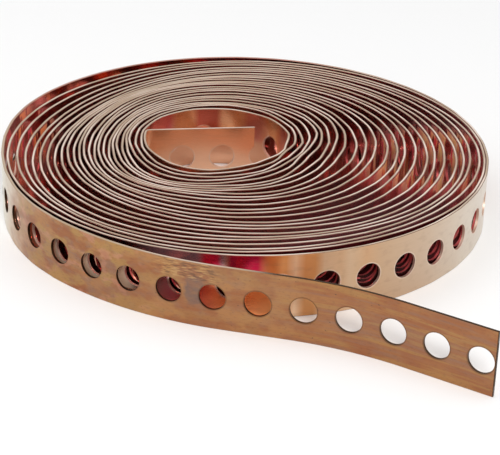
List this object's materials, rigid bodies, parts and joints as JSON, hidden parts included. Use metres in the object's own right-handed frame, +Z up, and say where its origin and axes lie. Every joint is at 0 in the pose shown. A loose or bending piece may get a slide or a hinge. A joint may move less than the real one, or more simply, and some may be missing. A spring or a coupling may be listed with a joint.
{
  "type": "copper bonding strip roll",
  "caption": "Roll of thin perforated copper strip lying flat on its edges, its turns wound around an off-centre eye, with the free end pulled out as a tail.",
  "frame": {"origin": "on the floor, in the middle of the rectangle that the roll and its tail cover", "axes": "+Z up along the roll's axis, +Y from the tail towards the roll, +X towards the side on which the tail ends"},
  "size_m": [0.1488, 0.1852, 0.019],
  "materials": {
    "copper": "satin bare copper, lightly tarnished"
  },
  "bodies": {
    "root": {"copper_strip": "copper"}
  },
  "joints": []
}
